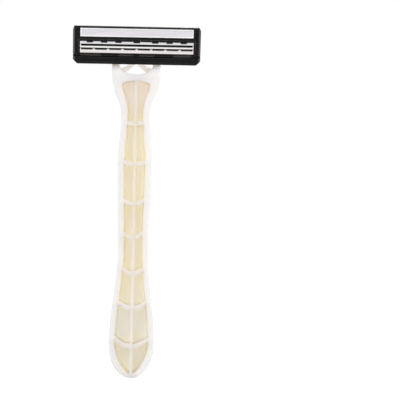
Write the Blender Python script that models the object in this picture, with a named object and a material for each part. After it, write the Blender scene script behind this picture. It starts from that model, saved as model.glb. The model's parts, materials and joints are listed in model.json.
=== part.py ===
"""A disposable razor with a ribbed channel handle and a pivoting three-blade head.

All lengths are in metres. X runs across the head, Z runs up the handle, and the blades face -Y.
The origin is the middle of the flat stretch on the back of the handle's paddle. Inside the
script, heights are counted from the butt end, and depths from the plane of the pivot.
"""

import math

import bmesh
import bpy

# Clearances
CLEARANCE = 0.0003
STACK_GAP = 0.00005
STRIP_GAP = 0.00015

# Handle, seen from the front
YOKE_HEIGHT = 0.1026
PADDLE_HALF_WIDTH = 0.00775
GRIP_HALF_WIDTH = 0.0051
BULGE_HALF_WIDTH = 0.0056
WAIST_HALF_WIDTH = 0.0046
SHOULDER_HALF_WIDTH = 0.0079
YOKE_HALF_WIDTH = 0.0082
BUTT_ROUND = 0.0120
BUTT_POWER = 2.1
BUTT_TIP = 0.00001
BUTT_SOFTENING = 0.0030
BUTT_ANGLES = (0, 2, 4, 7, 11, 16, 22, 30, 39, 48, 57, 66, 75, 83)
STATION_STEP = 0.0032

# Handle, seen from the side: depths are from the pivot's plane, negative to the front
PADDLE_BACK = 0.0052
GRIP_BACK = 0.0060
WAIST_BACK = 0.0040
YOKE_BACK = 0.0027
PADDLE_FRONT = -0.0036
GRIP_FRONT = -0.0024
WAIST_FRONT = -0.0032
YOKE_FRONT = -0.0029
BUTT_BACK_ROUND = 0.0040
BUTT_FRONT_ROUND = 0.0012
FLAT_MIDDLE = 0.0150

# Handle's back panel and bevelled sides
PADDLE_PANEL = 0.0058
GRIP_PANEL = 0.00255
YOKE_PANEL = 0.0062
SIDE_BEVEL = 0.0020
BEVEL_SHARE = 0.4
EDGE_ROUND = 0.0005

# Channel in the handle's front, with its spine and ribs
RIM = 0.0019
BUTT_RIM = 0.0015
YOKE_RIM = 0.0029
YOKE_WEB = 0.0022
FLOOR = 0.0014
CHANNEL_DRAFT = 0.0005
CHANNEL_BUTT_POWER = 1.7
CHANNEL_END_ROUND = 0.0014
CHANNEL_STEPS = 44
NARROWEST_FLOOR = 0.7
SPINE_HALF_WIDTH = 0.00055
RIB_THICKNESS = 0.0016
RIB_SAG = 0.0028
RIB_RECESS = 0.0004
RIB_STEPS = 10
RIB_PLACES = (0.105, 0.230, 0.343, 0.462, 0.574, 0.704, 0.837)

# Grip lines and groove on the handle's back
RIDGE_COUNT = 15
RIDGE_PITCH = 0.00207
RIDGE_RADIUS = 0.00060
RIDGE_RISE = 0.00028
RIDGE_HALF_LENGTH = 0.0022
RIDGE_SEGMENTS = 12
RIDGE_PLACE = 0.684
GROOVE_PLACE = 0.439
GROOVE_LENGTH = 0.0182
GROOVE_HALF_WIDTH = 0.0014
GROOVE_DEPTH = 0.0006

# Arms and the pins that the head turns on
PIVOT_RISE = 0.0105
ARM_INNER = 0.0056
ARM_TIP_LENGTH = 0.0010
ARM_TAPER_LENGTH = 0.0085
PIN_RADIUS = 0.0009
PIN_ROOT = 0.0016
PIN_END = 0.0101

# Sprung tongue between the arms
STEM_HALF_WIDTH = 0.00115
TONGUE_FRONT = 0.0005
TONGUE_BACK = 0.0022
TONGUE_FOOT = 0.0053
WINDOW_HALF_WIDTH = 0.0037
WINDOW_RISE = 0.0007
SHOULDER_RISE = 0.0025
SHOULDER_CUT = 0.0004
LEG_RISE = 0.0038
LEG_LEAN = 0.0004
LEG_BOW = (0.00165, 0.0018)
LEG_STEPS = 6
TONGUE_ROUND = 0.0003
BAR_HALF_WIDTH = 0.0024
BAR_HEIGHT = 0.0019
BAR_DROP = 0.00145
CAM_REACH = 0.0016
CAM_RADIUS = 0.0006

# Head: heights are from the pivot, depths from the pivot to the front
# The tilt is how far the face looks up, so that at rest it nods down towards the handle
HEAD_TILT = math.radians(-15)
HEAD_HALF_WIDTH = 0.0214
HEAD_TOP = 0.0067
HEAD_BOTTOM = 0.0052
FACE = 0.0067
BACK_WALL = 0.0016
TOP_SLOPE_DROP = 0.0013
TOP_SLOPE_DEPTH = 0.0034
TOP_CORNER = (0.0004, 0.0011)
FRONT_BEVEL = 0.0006
BACK_BEVEL = 0.0004
CROWN_HALF_WIDTH = 0.0047
CROWN_SPREAD = 0.35
CROWN_DROP = 0.0010
CROWN_FOOT = 0.0036
CROWN_SEAM = 0.0001
CROWN_PROUD = 0.0002
PILLAR_WIDTH = 0.0021
PILLAR_BOTTOM = -0.0026
RAIL_THICKNESS = 0.0016
LIP_BOTTOM = 0.0018
LIP_ROUND = 0.0005
LIP_STEP = 0.0006
LIP_RECESS = 0.00025
TAB_HEIGHT = 0.0004
TAB_HALF_WIDTH = 0.0013
TAB_TAPER = 0.00028
TAB_SETBACK = 0.00005
POST_PLACE = 0.01095
TAB_PLACES = (-0.01575, -POST_PLACE, -0.00615, 0.0, 0.00615, POST_PLACE, 0.01575)

# Strip in the cap
STRIP_INSET = 0.0004
STRIP_HEIGHT = 0.0028
STRIP_MIDDLE = 0.00475
STRIP_DEPTH = 0.0007
STRIP_PROUD = 0.0002
STRIP_BORDER = 0.00035
STRIP_DISH = 0.00012

# Blade stack
BLADE_ANGLE = math.radians(25)
BLADE_WIDTH = 0.0050
BLADE_THICKNESS = 0.0001
BLADE_GRIND = 0.00035
UPPER_EDGE = 0.0009
UPPER_STEP = 0.0013
LOWER_STEP = 0.0017
EDGE_SETBACK = 0.00015
SPACER_REACH = (0.0006, 0.00045)
NOTCH_PITCH = 0.0048
NOTCH_COUNT = 7
NOTCH_HALF_WIDTH = 0.0004
NOTCH_DEPTH = 0.0004
POST_RADIUS = 0.0005
POST_INSET = 0.0009
POST_GAP = 0.00015
POST_LENGTH = 0.0012

# Guard and rinse windows
GUARD_TOP = 0.0034
GUARD_DROP = 0.0009
GUARD_STEP = 0.0009
GUARD_EDGE = 0.0002
GUARD_CHAMFER = 0.0016
CHIN_EDGE = 0.0005
CHIN_RISE = 0.0002
CHIN_DEPTH = 0.0012
WINDOW_HEIGHT = 0.00085
WINDOW_MIDDLE = 0.00285
WINDOW_SLOPE = math.radians(20)
WINDOW_START = 0.0001
WINDOW_SPANS = ((0.0010, 0.0061), (0.0122, 0.0187))

# Back of the head
BEARING_INNER = 0.0087
BEARING_OUTER = 0.0114
CHEEK = 0.0010
HOOD_TOP = 0.0033
HOOD_CHAMFER = 0.0012
BEARING_BACK = 0.0013
BEARING_FOOT = 0.0055
BARREL_ROUND = 0.0010
FOOT_CHAMFER = 0.0010
MOUTH_HALF_HEIGHT = 0.00085
HOOD_SLOT = (0.0094, 0.0101)
HOOD_SLOT_RISE = 0.0004
RIB_INNER = 0.0016
RIB_OUTER = 0.0024
RIB_TOP = 0.0047
RAIL_HALF_LENGTH = 0.0051
RAIL_TOP = 0.0034
RAIL_FOOT = 0.0051
PANEL_INNER = 0.0119
PANEL_OUTER = 0.0190
PANEL_DEPTH = 0.0008
PANEL_SPANS = ((-0.0025, 0.0007), (-0.0045, -0.0033))
MARK_PLACE = (0.0152, 0.0015)
MARK_RADIUS = 0.0006
MARK_DEPTH = 0.0002

# How far a cutter reaches past what it cuts, and a joined shape into what it joins
BEYOND = 0.0030
OVERLAP = 0.0004
FAR = 0.0200

# How finely round shapes are drawn: arcs by degrees, and how much of an edge a corner's round may take
ARC_STEP = 12
CORNER_STEPS = 3
CORNER_SHARE = 0.45
ROUND_SEGMENTS = 32
SMALL_SEGMENTS = 16

# What follows from the sizes above
PIVOT_HEIGHT = YOKE_HEIGHT + PIVOT_RISE
SEAT = (UPPER_STEP + LOWER_STEP) * math.sin(BLADE_ANGLE) + BLADE_THICKNESS + STACK_GAP
STACK_BACK = EDGE_SETBACK - FACE + BLADE_WIDTH * math.sin(BLADE_ANGLE) + BLADE_THICKNESS + CLEARANCE
STACK_TOP = UPPER_EDGE + BLADE_WIDTH * math.cos(BLADE_ANGLE) + CLEARANCE
RAIL_UNDER = HEAD_TOP - RAIL_THICKNESS
INNER_HALF_WIDTH = HEAD_HALF_WIDTH - PILLAR_WIDTH
STRIP_HALF_LENGTH = INNER_HALF_WIDTH - STRIP_INSET
BEHIND = 2 * FACE


def clear_scene():
    for found in list(bpy.data.objects):
        bpy.data.objects.remove(found, do_unlink=True)


def new_collection(name):
    made = bpy.data.collections.new(name)
    bpy.context.scene.collection.children.link(made)
    return made


clear_scene()
razor = new_collection("disposable_razor")
shapers = new_collection("disposable_razor_cutters")


def new_empty(name, parent, location, pitch=0.0):
    """An empty that carries pieces; pitch turns it about X."""
    made = bpy.data.objects.new(name, None)
    made.location = location
    made.rotation_euler.x = pitch
    made.parent = parent
    razor.objects.link(made)
    return made


razor_frame = new_empty("razor_frame", None, (0, -PADDLE_BACK, -FLAT_MIDDLE))
head_pivot = new_empty("head_pivot", razor_frame, (0, 0, PIVOT_HEIGHT), -HEAD_TILT)
blade_stack = new_empty("blade_stack", head_pivot, (0, EDGE_SETBACK - FACE, UPPER_EDGE), -BLADE_ANGLE)


def new_material(name, colour, roughness, metallic=0.0):
    made = bpy.data.materials.new(name)
    made.use_nodes = True
    shader = made.node_tree.nodes["Principled BSDF"]
    shader.inputs["Base Color"].default_value = (*colour, 1.0)
    shader.inputs["Roughness"].default_value = roughness
    shader.inputs["Metallic"].default_value = metallic
    made.diffuse_color = (*colour, 1.0)
    return made


def new_object(name, mesh, parent, material=None):
    """A solid where a material is given, and otherwise a shape that cuts or joins one."""
    made = bpy.data.objects.new(name, mesh)
    made.parent = parent
    if material is None:
        shapers.objects.link(made)
        made.hide_render = True
        made.display_type = "WIRE"
    else:
        razor.objects.link(made)
        mesh.materials.append(material)
    return made


def mesh_of(name, build):
    """A mesh from a bmesh, with its faces pointing out."""
    bmesh.ops.recalc_face_normals(build, faces=build.faces)
    mesh = bpy.data.meshes.new(name)
    build.to_mesh(mesh)
    build.free()
    return mesh


def smooth_round(found, degrees=32):
    found.data.shade_smooth()
    found.data.set_sharp_from_angle(angle=math.radians(degrees))


def outline_mesh(name, outlines, thickness):
    """Flat outlines, the inner ones holes, filled and given a thickness."""
    curve = bpy.data.curves.new(name, "CURVE")
    curve.dimensions = "2D"
    curve.fill_mode = "BOTH"
    curve.extrude = thickness / 2
    for outline in outlines:
        spline = curve.splines.new("POLY")
        spline.points.add(len(outline) - 1)
        for point, (across, up) in zip(spline.points, outline):
            point.co = (across, up, 0, 1)
        spline.use_cyclic_u = True
    drawn = bpy.data.objects.new(name, curve)
    bpy.context.scene.collection.objects.link(drawn)
    evaluated = drawn.evaluated_get(bpy.context.evaluated_depsgraph_get())
    filled = bpy.data.meshes.new_from_object(evaluated)
    build = bmesh.new()
    build.from_mesh(filled)
    bmesh.ops.remove_doubles(build, verts=build.verts, dist=0.000001)
    bpy.data.objects.remove(drawn)
    bpy.data.curves.remove(curve)
    bpy.data.meshes.remove(filled)
    return mesh_of(name, build)


def front_plate(name, outlines, near, far, parent, material=None):
    """A plate whose outline is seen from the front, as X and Z, from depth near to far."""
    mesh = outline_mesh(name, outlines, far - near)
    made = new_object(name, mesh, parent, material)
    made.location.y = (near + far) / 2
    made.rotation_euler.x = math.pi / 2
    return made


def side_bar(name, outline, left, right, parent, material=None):
    """A bar whose outline is seen from the side, as Y and Z, from left to right along X."""
    mesh = outline_mesh(name, [outline], right - left)
    made = new_object(name, mesh, parent, material)
    made.location.x = (left + right) / 2
    made.rotation_euler = (math.pi / 2, 0, math.pi / 2)
    return made


def plan_plate(name, outline, low, high, parent):
    """A plate whose outline is seen from above, as X and Y, from height low to high."""
    made = new_object(name, outline_mesh(name, [outline], high - low), parent)
    made.location.z = (low + high) / 2
    return made


def box(name, low, high, parent):
    build = bmesh.new()
    bmesh.ops.create_cube(build, size=1.0)
    for vertex in build.verts:
        for axis in range(3):
            vertex.co[axis] = high[axis] if vertex.co[axis] > 0 else low[axis]
    return new_object(name, mesh_of(name, build), parent)


def rod(name, radius, left, right, parent):
    """A cylinder along X, about the frame's own X axis."""
    build = bmesh.new()
    bmesh.ops.create_cone(
        build, cap_ends=True, segments=ROUND_SEGMENTS, radius1=radius, radius2=radius, depth=right - left
    )
    made = new_object(name, mesh_of(name, build), parent)
    made.location.x = (left + right) / 2
    made.rotation_euler.y = math.pi / 2
    return made


def post(name, radius, near, far, across, up, parent):
    """A cylinder along Y, from depth near to far."""
    build = bmesh.new()
    bmesh.ops.create_cone(
        build, cap_ends=True, segments=SMALL_SEGMENTS, radius1=radius, radius2=radius, depth=far - near
    )
    made = new_object(name, mesh_of(name, build), parent)
    made.location = (across, (near + far) / 2, up)
    made.rotation_euler.x = math.pi / 2
    return made


def loft(name, rings, parent, material=None):
    """A closed skin over rings of equally many points, flat at both ends."""
    build = bmesh.new()
    made_rings = [[build.verts.new(point) for point in ring] for ring in rings]
    for lower, upper in zip(made_rings, made_rings[1:]):
        for corner, start in enumerate(lower):
            after = (corner + 1) % len(lower)
            build.faces.new((start, lower[after], upper[after], upper[corner]))
    build.faces.new(made_rings[0])
    build.faces.new(made_rings[-1])
    return new_object(name, mesh_of(name, build), parent, material)


def shape(target, tool, operation):
    modifier = target.modifiers.new(f"{operation.lower()}_{tool.name}", "BOOLEAN")
    modifier.operation = operation
    modifier.solver = "EXACT"
    modifier.object = tool


def cut(target, *tools):
    for tool in tools:
        shape(target, tool, "DIFFERENCE")


def join(target, *tools):
    for tool in tools:
        shape(target, tool, "UNION")


def keep_common(target, tool):
    shape(target, tool, "INTERSECT")


def mirrored(outline):
    """A right half, from the top to the bottom, with its left half added."""
    return outline + [(-across, up) for across, up in reversed(outline) if across > 0]


def curved(start, corner, end, steps):
    """Points from start to end on a curve that bends towards the corner."""
    result = []
    for step in range(steps + 1):
        t = step / steps
        weights = ((1 - t) ** 2, 2 * t * (1 - t), t * t)
        points = (start, corner, end)
        result.append(tuple(sum(w * p[axis] for w, p in zip(weights, points)) for axis in range(2)))
    return result


def rounded(outline, radius):
    """The outline with each corner replaced by a short curve, radius back along both edges."""
    result = []
    for index, corner in enumerate(outline):
        before = outline[index - 1]
        after = outline[(index + 1) % len(outline)]
        starts = []
        for other in (before, after):
            length = math.dist(corner, other)
            reach = min(radius, length * CORNER_SHARE)
            starts.append([c + (o - c) * reach / length for c, o in zip(corner, other)])
        result += curved(starts[0], corner, starts[1], CORNER_STEPS)
    return result


def longer(start, end, reach):
    """The two ends of a line, each moved out along it by a distance."""
    length = math.dist(start, end)
    step = [(b - a) * reach / length for a, b in zip(start, end)]
    return [(start[0] - step[0], start[1] - step[1]), (end[0] + step[0], end[1] + step[1])]


def arc(middle, radius, start, end):
    """Points on a circle, from the angle start to end, in degrees."""
    steps = round(abs(end - start) / ARC_STEP)
    angles = [math.radians(start + (end - start) * step / steps) for step in range(steps + 1)]
    return [(middle[0] + radius * math.cos(a), middle[1] + radius * math.sin(a)) for a in angles]


def along(stations, height):
    """A smooth curve through (height, value) stations that never swings past them."""
    if height <= stations[0][0]:
        return stations[0][1]
    if height >= stations[-1][0]:
        return stations[-1][1]
    slopes = [(b[1] - a[1]) / (b[0] - a[0]) for a, b in zip(stations, stations[1:])]
    tangents = [0.0]
    for left, right in zip(slopes, slopes[1:]):
        tangents.append(0.0 if left * right <= 0 else 2 * left * right / (left + right))
    tangents.append(0.0)
    index = max(i for i in range(len(slopes)) if stations[i][0] <= height)
    (low, low_value), (high, high_value) = stations[index], stations[index + 1]
    span = high - low
    t = (height - low) / span
    return (
        low_value * (1 + 2 * t) * (1 - t) ** 2
        + high_value * t * t * (3 - 2 * t)
        + tangents[index] * span * t * (1 - t) ** 2
        - tangents[index + 1] * span * t * t * (1 - t)
    )


def end_round(distance, radius, power=2.0):
    """How full a rounded end is at a distance from its tip, from near 0 to 1."""
    inward = max(0.0, radius - max(distance, BUTT_TIP)) / radius
    return (1 - inward**power) ** (1 / power)


def at(*places):
    """Stations from fractions of the handle's height and their values."""
    return [(fraction * YOKE_HEIGHT, value) for fraction, value in places]


def outer_half_width(height):
    stations = at(
        (0.110, PADDLE_HALF_WIDTH),
        (0.430, GRIP_HALF_WIDTH),
        (0.705, BULGE_HALF_WIDTH),
        (0.872, WAIST_HALF_WIDTH),
        (0.972, SHOULDER_HALF_WIDTH),
        (1.020, YOKE_HALF_WIDTH),
    )
    return along(stations, height)


def panel_half_width(height):
    stations = at(
        (0.200, PADDLE_PANEL),
        (0.430, GRIP_PANEL),
        (0.880, GRIP_PANEL),
        (0.985, YOKE_PANEL),
    )
    return along(stations, height)


def back_depth(height):
    stations = at(
        (0.070, PADDLE_BACK),
        (0.230, PADDLE_BACK),
        (0.450, GRIP_BACK),
        (0.860, WAIST_BACK),
        (1.020, YOKE_BACK),
    )
    return along(stations, height)


def front_depth(height):
    stations = at(
        (0.110, PADDLE_FRONT),
        (0.450, GRIP_FRONT),
        (0.860, WAIST_FRONT),
        (1.020, YOKE_FRONT),
    )
    return along(stations, height)


def rim_width(height):
    return along(at((0.860, RIM), (0.970, YOKE_RIM)), height)


def handle_ring(height):
    """The handle's cross-section: flat front, drafted sides, bevelled corners and a flat back."""
    fullness = end_round(height, BUTT_ROUND, BUTT_POWER)
    half_width = outer_half_width(height) * fullness
    panel = half_width - (outer_half_width(height) - panel_half_width(height)) * fullness**2
    middle = (front_depth(height) + back_depth(height)) / 2
    front = middle + (front_depth(height) - middle) * end_round(height, BUTT_FRONT_ROUND)
    back = middle + (back_depth(height) - middle) * end_round(height, BUTT_BACK_ROUND)
    bevel = min(SIDE_BEVEL, (back - front) * BEVEL_SHARE)
    half = [
        (half_width, front),
        (half_width, back - bevel),
        (panel, back),
    ]
    outline = rounded(mirrored(half), EDGE_ROUND + BUTT_SOFTENING * (1 - fullness))
    return [(across, depth, height) for across, depth in outline]


def handle_heights(top):
    """Close stations round the butt, then even ones up to the top."""
    near_butt = [BUTT_ROUND * (1 - math.cos(math.radians(angle))) for angle in BUTT_ANGLES]
    even = round((top - BUTT_ROUND) / STATION_STEP)
    return near_butt + [BUTT_ROUND + (top - BUTT_ROUND) * step / even for step in range(even + 1)]


def channel_cutter():
    """The open channel, less its spine and ribs: the sixteen cells in one shape."""
    top = YOKE_HEIGHT - YOKE_WEB
    span = top - BUTT_RIM
    rings = []
    for step in range(CHANNEL_STEPS + 1):
        height = BUTT_RIM + span * (1 - math.cos(math.pi * step / CHANNEL_STEPS)) / 2
        fullness = end_round(height - BUTT_RIM, BUTT_ROUND - BUTT_RIM, CHANNEL_BUTT_POWER)
        fullness *= end_round(top - height, CHANNEL_END_ROUND)
        wide = (outer_half_width(height) - rim_width(height)) * fullness
        narrow = max(wide - CHANNEL_DRAFT, wide * NARROWEST_FLOOR)
        floor = back_depth(height) - FLOOR
        near = front_depth(height) - BEYOND
        ring = [(wide, near), (wide, front_depth(height)), (narrow, floor - EDGE_ROUND)]
        ring += [(narrow - EDGE_ROUND * fullness * NARROWEST_FLOOR, floor)]
        rings.append([(across, depth, height) for across, depth in mirrored(ring)])
    channel = loft("channel", rings, razor_frame)
    spine_rings = []
    for height in handle_heights(YOKE_HEIGHT):
        near = front_depth(height) + RIB_RECESS
        far = back_depth(height) + BEYOND
        ring = [(SPINE_HALF_WIDTH, near), (SPINE_HALF_WIDTH, far)]
        spine_rings.append([(across, depth, height) for across, depth in mirrored(ring)])
    cut(channel, loft("spine", spine_rings, razor_frame))
    for number, place in enumerate(RIB_PLACES):
        height = place * YOKE_HEIGHT
        reach = outer_half_width(height)
        sag = RIB_SAG * (1 - number / len(RIB_PLACES))
        sides = [reach * (2 * step / RIB_STEPS - 1) for step in range(RIB_STEPS + 1)]
        rise = [height + sag * (across / (reach - RIM)) ** 2 for across in sides]
        lower = [(x, z - RIB_THICKNESS / 2) for x, z in zip(sides, rise)]
        upper = [(x, z + RIB_THICKNESS / 2) for x, z in zip(sides, rise)]
        near = front_depth(height) + RIB_RECESS
        far = back_depth(height) + BEYOND
        cut(channel, front_plate(f"cross_rib_{number}", [lower + upper[::-1]], near, far, razor_frame))
    return channel


def window_sill(share):
    """A point on the window's hollow lower edge, at a share of its half-width."""
    return (WINDOW_HALF_WIDTH * share, YOKE_HEIGHT + WINDOW_RISE * share**2)


def shoulder_corners():
    """The slanted edge that each sprung leg starts from, between an arm and the window."""
    top = (ARM_INNER - SHOULDER_CUT, YOKE_HEIGHT + SHOULDER_RISE - SHOULDER_CUT)
    bottom = (WINDOW_HALF_WIDTH + CLEARANCE, YOKE_HEIGHT + WINDOW_RISE)
    return top, bottom


def yoke_gap():
    """What is open between the arms, down to the feet of the sprung legs and the window."""
    half = [(ARM_INNER, PIVOT_HEIGHT + 2 * BEYOND), (ARM_INNER, YOKE_HEIGHT + SHOULDER_RISE)]
    half += shoulder_corners()
    half += [window_sill(share) for share in (0.75, 0.5, 0.25)]
    return front_plate("yoke_gap", [mirrored(half)], -BEHIND, BEHIND, razor_frame)


def at_rest(depth, up):
    """A point of the head, as it lies at rest, from the pivot."""
    turn, lift = math.cos(HEAD_TILT), math.sin(HEAD_TILT)
    return depth * turn + up * lift, up * turn - depth * lift


def arm_profile():
    """The arms from the side: shelves under the head, a front along its back wall and a round tip."""
    tip = BACK_WALL - CLEARANCE
    heel_depth, heel = at_rest(-BACK_WALL, -HEAD_BOTTOM)
    chin_depth, chin = at_rest(CHIN_DEPTH - FACE, -HEAD_BOTTOM - GUARD_DROP)
    slope = (heel - chin) / (heel_depth - chin_depth)
    shelf = heel - 2 * CLEARANCE
    shelf_back = (shelf * math.sin(HEAD_TILT) - tip) / math.cos(HEAD_TILT)
    low = -PIVOT_HEIGHT - BEYOND
    outline = [
        (tip, -ARM_TIP_LENGTH),
        (YOKE_BACK + OVERLAP, -ARM_TAPER_LENGTH),
        (FAR, WINDOW_RISE - PIVOT_RISE),
        (FAR, low),
        (-FAR, low),
        (-FAR, shelf + (-FAR - shelf_back) * slope),
        (shelf_back, shelf),
    ]
    outline += arc((0, 0), tip, 180 - math.degrees(HEAD_TILT), 0)
    outline = [(depth, PIVOT_HEIGHT + up) for depth, up in outline]
    return side_bar("arm_profile", outline, -2 * YOKE_HALF_WIDTH, 2 * YOKE_HALF_WIDTH, razor_frame)


def grip_ridges():
    """The cross lines on the waist's back: bars sunk into the panel, each its own body here."""
    build = bmesh.new()
    for number in range(RIDGE_COUNT):
        height = RIDGE_PLACE * YOKE_HEIGHT + (number - (RIDGE_COUNT - 1) / 2) * RIDGE_PITCH
        made = bmesh.ops.create_cone(
            build, cap_ends=True, segments=RIDGE_SEGMENTS, radius1=RIDGE_RADIUS, radius2=RIDGE_RADIUS,
            depth=2 * RIDGE_HALF_LENGTH,
        )
        depth = back_depth(height) + RIDGE_RISE - RIDGE_RADIUS
        for vertex in made["verts"]:
            x, y, z = vertex.co
            vertex.co = (z, depth + y, height + x)
    return new_object("grip_ridges", mesh_of("grip_ridges", build), razor_frame)


def back_groove():
    """The groove below the grip lines: square at the top and round at the bottom."""
    middle = GROOVE_PLACE * YOKE_HEIGHT
    top = middle + GROOVE_LENGTH / 2
    low = middle - GROOVE_LENGTH / 2 + GROOVE_HALF_WIDTH
    outline = [(-GROOVE_HALF_WIDTH, top), (GROOVE_HALF_WIDTH, top)]
    outline += arc((0, low), GROOVE_HALF_WIDTH, 0, -180)
    near = back_depth(middle) - GROOVE_DEPTH
    return front_plate("back_groove", [outline], near, near + BEYOND, razor_frame)


def build_handle(material):
    rings = [handle_ring(height) for height in handle_heights(PIVOT_HEIGHT + BEYOND)]
    handle = loft("handle", rings, razor_frame, material)
    cut(handle, channel_cutter(), yoke_gap())
    keep_common(handle, arm_profile())
    join(handle, grip_ridges())
    cut(handle, back_groove())
    for side, name in ((1, "pin_right"), (-1, "pin_left")):
        ends = sorted((side * (YOKE_HALF_WIDTH - PIN_ROOT), side * PIN_END))
        pin = rod(name, PIN_RADIUS, *ends, razor_frame)
        pin.location.z = PIVOT_HEIGHT
        join(handle, pin)
    smooth_round(handle)
    return handle


def build_wishbone(material):
    """Two thin legs that carry the tongue and bend as it is pressed down."""
    slant = CLEARANCE / math.sqrt(2)
    (top_across, top_up), (low_across, low_up) = shoulder_corners()
    root = (top_across - slant, top_up + slant)
    foot = (low_across - slant, low_up + slant)
    neck = (STEM_HALF_WIDTH, YOKE_HEIGHT + TONGUE_FOOT)
    crotch = (0.0, YOKE_HEIGHT + LEG_RISE)
    outer = curved(neck, (STEM_HALF_WIDTH + LEG_LEAN, root[1]), root, LEG_STEPS)
    inner = curved(foot, (LEG_BOW[0], YOKE_HEIGHT + LEG_BOW[1]), crotch, LEG_STEPS)
    half = outer + inner
    outline = half + [(-across, up) for across, up in reversed(half) if across > 0]
    return front_plate("wishbone_spring", [outline], TONGUE_FRONT, TONGUE_BACK, razor_frame, material)


def build_plunger(material):
    """The tongue's stem and its cross bar, which the head's two ribs press on."""
    top = PIVOT_HEIGHT - BAR_DROP
    under = top - BAR_HEIGHT
    half = [
        (BAR_HALF_WIDTH, top),
        (BAR_HALF_WIDTH, under),
        (STEM_HALF_WIDTH, under),
        (STEM_HALF_WIDTH, YOKE_HEIGHT + TONGUE_FOOT + CLEARANCE),
    ]
    outline = rounded(mirrored(half), TONGUE_ROUND)
    return front_plate("plunger_tip", [outline], TONGUE_FRONT, TONGUE_BACK, razor_frame, material)


def blade_plane(behind, up):
    """Depth, at a height, of the plane that lies behind the upper blade's front face by a distance."""
    rise = (up - UPPER_EDGE) * math.tan(BLADE_ANGLE)
    return EDGE_SETBACK - FACE + rise + behind / math.cos(BLADE_ANGLE)


def blade_places():
    """Each blade's edge along the stack and its front face through the stack."""
    drops = (0.0, UPPER_STEP, UPPER_STEP + LOWER_STEP)
    return [(-drop * math.cos(BLADE_ANGLE), drop * math.sin(BLADE_ANGLE)) for drop in drops]


def head_plan(name):
    """The head from above: its ends are bevelled at the front and at the back."""
    front = longer((HEAD_HALF_WIDTH, FRONT_BEVEL - FACE), (HEAD_HALF_WIDTH - FRONT_BEVEL, -FACE), OVERLAP)
    back_corner = (HEAD_HALF_WIDTH - BACK_BEVEL, -BACK_WALL)
    back = longer(back_corner, (HEAD_HALF_WIDTH, -BACK_WALL - BACK_BEVEL), OVERLAP)
    return plan_plate(name, mirrored(back + front), -BEHIND, BEHIND, head_pivot)


def cover_silhouette():
    """The cover from the front: straight sides and steeply cut upper corners."""
    across, down = TOP_CORNER
    corner = longer((HEAD_HALF_WIDTH - across, HEAD_TOP), (HEAD_HALF_WIDTH, HEAD_TOP - down), OVERLAP)
    half = corner + [(corner[1][0], -BEHIND)]
    return front_plate("cover_silhouette", [mirrored(half)], -BEHIND, BEHIND, head_pivot)


def crown(name, high, low):
    """A height of the raised panel in the middle of the head's back, which widens downwards."""
    top = HEAD_TOP - CROWN_DROP
    half = [(CROWN_HALF_WIDTH + (top - height) * CROWN_SPREAD, height) for height in (high, low)]
    near = -BACK_WALL - OVERLAP
    return front_plate(name, [mirrored(half)], near, CROWN_PROUD - BACK_WALL, head_pivot)


def lip_step():
    """The cutter for the step along the cap lip, between its tabs."""
    low = (-INNER_HALF_WIDTH - CLEARANCE, -BEHIND, LIP_BOTTOM - BEYOND)
    high = (INNER_HALF_WIDTH + CLEARANCE, LIP_RECESS - FACE, LIP_BOTTOM + LIP_STEP)
    return box("lip_step", low, high, head_pivot)


def build_cover(material):
    """The head's upper half: top rail, side pillars, cap lip with its tabs, and the strip's pocket."""
    outline = [
        (LIP_ROUND - FACE, HEAD_TOP),
        (-FACE, HEAD_TOP - LIP_ROUND),
        (-FACE, PILLAR_BOTTOM),
        (-BACK_WALL, PILLAR_BOTTOM),
        (-BACK_WALL, HEAD_TOP - TOP_SLOPE_DROP),
        (-BACK_WALL - TOP_SLOPE_DEPTH, HEAD_TOP),
    ]
    cover = side_bar("cover_frame", outline, -HEAD_HALF_WIDTH, HEAD_HALF_WIDTH, head_pivot, material)
    keep_common(cover, head_plan("cover_plan"))
    keep_common(cover, cover_silhouette())
    opening = [
        (-BEHIND, LIP_BOTTOM),
        (blade_plane(-STACK_GAP, LIP_BOTTOM), LIP_BOTTOM),
        (blade_plane(-STACK_GAP, STACK_TOP), STACK_TOP),
        (STACK_BACK, STACK_TOP),
        (STACK_BACK, -BEHIND),
        (-BEHIND, -BEHIND),
    ]
    cut(cover, side_bar("stack_opening", opening, -INNER_HALF_WIDTH, INNER_HALF_WIDTH, head_pivot))
    across = HEAD_HALF_WIDTH + BEYOND
    cut(cover, box("base_space", (-across, STACK_BACK, -BEHIND), (across, BEHIND, RAIL_UNDER), head_pivot))
    half_length = STRIP_HALF_LENGTH + STRIP_GAP
    half_height = STRIP_HEIGHT / 2 + STRIP_GAP
    low = (-half_length, -BEHIND, STRIP_MIDDLE - half_height)
    high = (half_length, STRIP_DEPTH - FACE, STRIP_MIDDLE + half_height)
    cut(cover, box("strip_pocket", low, high, head_pivot))
    cut(cover, lip_step())
    tab_foot = LIP_BOTTOM - TAB_HEIGHT
    near = TAB_SETBACK - FACE
    far = blade_plane(-STACK_GAP, tab_foot)
    for number, place in enumerate(TAB_PLACES):
        half = [
            (TAB_HALF_WIDTH, LIP_BOTTOM + LIP_STEP + OVERLAP),
            (TAB_HALF_WIDTH, LIP_BOTTOM + LIP_STEP),
            (TAB_HALF_WIDTH - TAB_TAPER, tab_foot),
        ]
        tab = [(place + x, up) for x, up in mirrored(half)]
        join(cover, front_plate(f"tab_{number}", [tab], near, far, head_pivot))
    join(cover, crown("cover_crown", HEAD_TOP - CROWN_DROP, RAIL_UNDER + CROWN_SEAM))
    smooth_round(cover)
    return cover


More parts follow.
